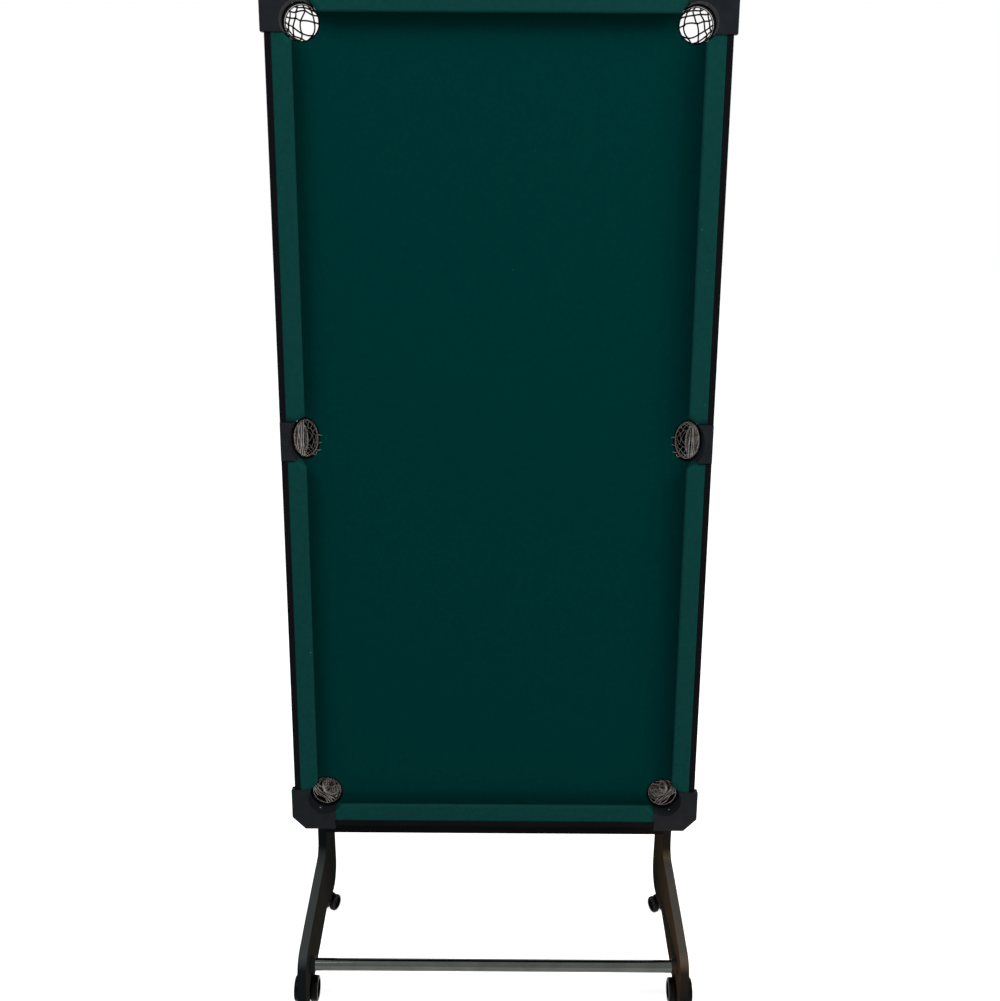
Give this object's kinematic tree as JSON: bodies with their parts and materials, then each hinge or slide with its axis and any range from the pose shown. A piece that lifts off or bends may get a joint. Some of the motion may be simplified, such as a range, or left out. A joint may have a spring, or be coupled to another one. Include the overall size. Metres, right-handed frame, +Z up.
{
  "type": "folding billiard table",
  "caption": "billiard table with green cloth, black frame and net pockets, stowed upright on a wheeled base; its top tilts flat and a far leg frame comes down with it",
  "frame": {"origin": "on the floor under the middle of the stowed object", "axes": "+Z up, +X to the right as seen facing the playing surface, the playing surface faces -Y while stowed"},
  "size_m": [0.935, 0.486, 2.163],
  "materials": {
    "cloth_green": "napped green playing cloth",
    "cloth_rail": "napped green cloth on the cushions",
    "board_raw": "bare pressed board",
    "batten_pine": "planed softwood",
    "frame_black": "black satin laminate on board",
    "leg_black": "satin black lacquer on board",
    "cap_black": "moulded satin black plastic",
    "ring_black": "moulded black plastic",
    "net_cord": "knotted cord",
    "bright_steel": "bright plated steel",
    "zinc_steel": "zinc plated steel",
    "coated_steel": "black powder coat",
    "caster_black": "moulded black nylon",
    "rubber_black": "black rubber"
  },
  "bodies": {
    "base": {"bar_collars": "cap_black", "base_leg_left": "leg_black", "base_leg_right": "leg_black", "cross_rail": "frame_black", "foot_bar": "bright_steel", "hinge_bolts": "zinc_steel", "link_studs": "zinc_steel", "lock_barrels": "cap_black"},
    "top": {"bed_battens": "batten_pine", "bed_board": "board_raw", "bed_cloth": "cloth_green", "cap_screws": "bright_steel", "corner_cap_left_far": "cap_black", "corner_cap_left_near": "cap_black", "corner_cap_right_far": "cap_black", "corner_cap_right_near": "cap_black", "cushion_end_far": "cloth_rail", "cushion_end_near": "cloth_rail", "cushion_left_far": "cloth_rail", "cushion_left_near": "cloth_rail", "cushion_right_far": "cloth_rail", "cushion_right_near": "cloth_rail", "far_bracket_left": "coated_steel", "far_bracket_right": "coated_steel", "frame_end_far": "frame_black", "frame_end_near": "frame_black", "frame_side_left": "frame_black", "frame_side_right": "frame_black", "hinge_bracket_left": "coated_steel", "hinge_bracket_right": "coated_steel", "net_left_far": "net_cord", "net_left_near": "net_cord", "net_right_far": "net_cord", "net_right_near": "net_cord", "net_side_left": "net_cord", "net_side_right": "net_cord", "pocket_rings": "ring_black", "side_cap_left": "cap_black", "side_cap_right": "cap_black", "stop_bumpers": "rubber_black"},
    "far_legs": {"far_bars": "coated_steel", "far_hinge_bolts": "zinc_steel", "far_leg_left": "leg_black", "far_leg_right": "leg_black"},
    "leveller_left": {"leveller_left": "caster_black"},
    "link_left": {"drag_link_left": "coated_steel"},
    "lock_left": {"lock_bolt_left": "caster_black"},
    "front_wheels_left": {"front_wheels_left": "caster_black"},
    "swivel_left": {"caster_hood_left": "caster_black"},
    "wheels_left": {"caster_wheels_left": "caster_black"},
    "leveller_right": {"leveller_right": "caster_black"},
    "link_right": {"drag_link_right": "coated_steel"},
    "lock_right": {"lock_bolt_right": "caster_black"},
    "front_wheels_right": {"front_wheels_right": "caster_black"},
    "swivel_right": {"caster_hood_right": "caster_black"},
    "wheels_right": {"caster_wheels_right": "caster_black"}
  },
  "joints": [
    {"name": "top_tilt", "type": "hinge", "parent": "base", "child": "top", "pos_m": [0, 0.122, 0.668], "axis": [-1, 0, 0], "range_deg": [0, 90]},
    {"name": "far_legs_fold", "type": "hinge", "parent": "top", "child": "far_legs", "pos_m": [0, 0.122, 1.753], "axis": [-1, 0, 0], "range_deg": [-90, 0]},
    {"name": "link_left_turn", "type": "hinge", "parent": "base", "child": "link_left", "pos_m": [-0.4308, 0.167, 0.608], "axis": [-1, 0, 0], "range_deg": [0, 90]},
    {"name": "link_right_turn", "type": "hinge", "parent": "base", "child": "link_right", "pos_m": [0.4308, 0.167, 0.608], "axis": [-1, 0, 0], "range_deg": [0, 90]},
    {"name": "leveller_left_screw", "type": "slide", "parent": "far_legs", "child": "leveller_left", "axis": [0, 0, -1], "range_m": [-0.005, 0.012]},
    {"name": "leveller_right_screw", "type": "slide", "parent": "far_legs", "child": "leveller_right", "axis": [0, 0, -1], "range_m": [-0.005, 0.012]},
    {"name": "lock_left_slide", "type": "slide", "parent": "base", "child": "lock_left", "axis": [1, 0, 0], "range_m": [0, 0.008]},
    {"name": "lock_right_slide", "type": "slide", "parent": "base", "child": "lock_right", "axis": [-1, 0, 0], "range_m": [0, 0.008]},
    {"name": "front_wheels_left_roll", "type": "hinge", "parent": "base", "child": "front_wheels_left", "pos_m": [-0.4185, -0.176, 0.028], "axis": [1, 0, 0], "continuous": true},
    {"name": "swivel_left_turn", "type": "hinge", "parent": "base", "child": "swivel_left", "pos_m": [-0.4185, 0.167, 0.046], "axis": [0, 0, 1], "continuous": true},
    {"name": "wheels_left_roll", "type": "hinge", "parent": "swivel_left", "child": "wheels_left", "pos_m": [-0.41512, 0.17425, 0.02], "axis": [0.9063, -0.4226, 0], "continuous": true},
    {"name": "front_wheels_right_roll", "type": "hinge", "parent": "base", "child": "front_wheels_right", "pos_m": [0.4185, -0.176, 0.028], "axis": [1, 0, 0], "continuous": true},
    {"name": "swivel_right_turn", "type": "hinge", "parent": "base", "child": "swivel_right", "pos_m": [0.4185, 0.167, 0.046], "axis": [0, 0, 1], "continuous": true},
    {"name": "wheels_right_roll", "type": "hinge", "parent": "swivel_right", "child": "wheels_right", "pos_m": [0.41512, 0.17425, 0.02], "axis": [0.9063, 0.4226, 0], "continuous": true}
  ],
  "couplings": [
    {"joint": "far_legs_fold", "follows": "top_tilt", "ratio": -1},
    {"joint": "link_left_turn", "follows": "top_tilt", "ratio": 1},
    {"joint": "link_right_turn", "follows": "top_tilt", "ratio": 1}
  ]
}
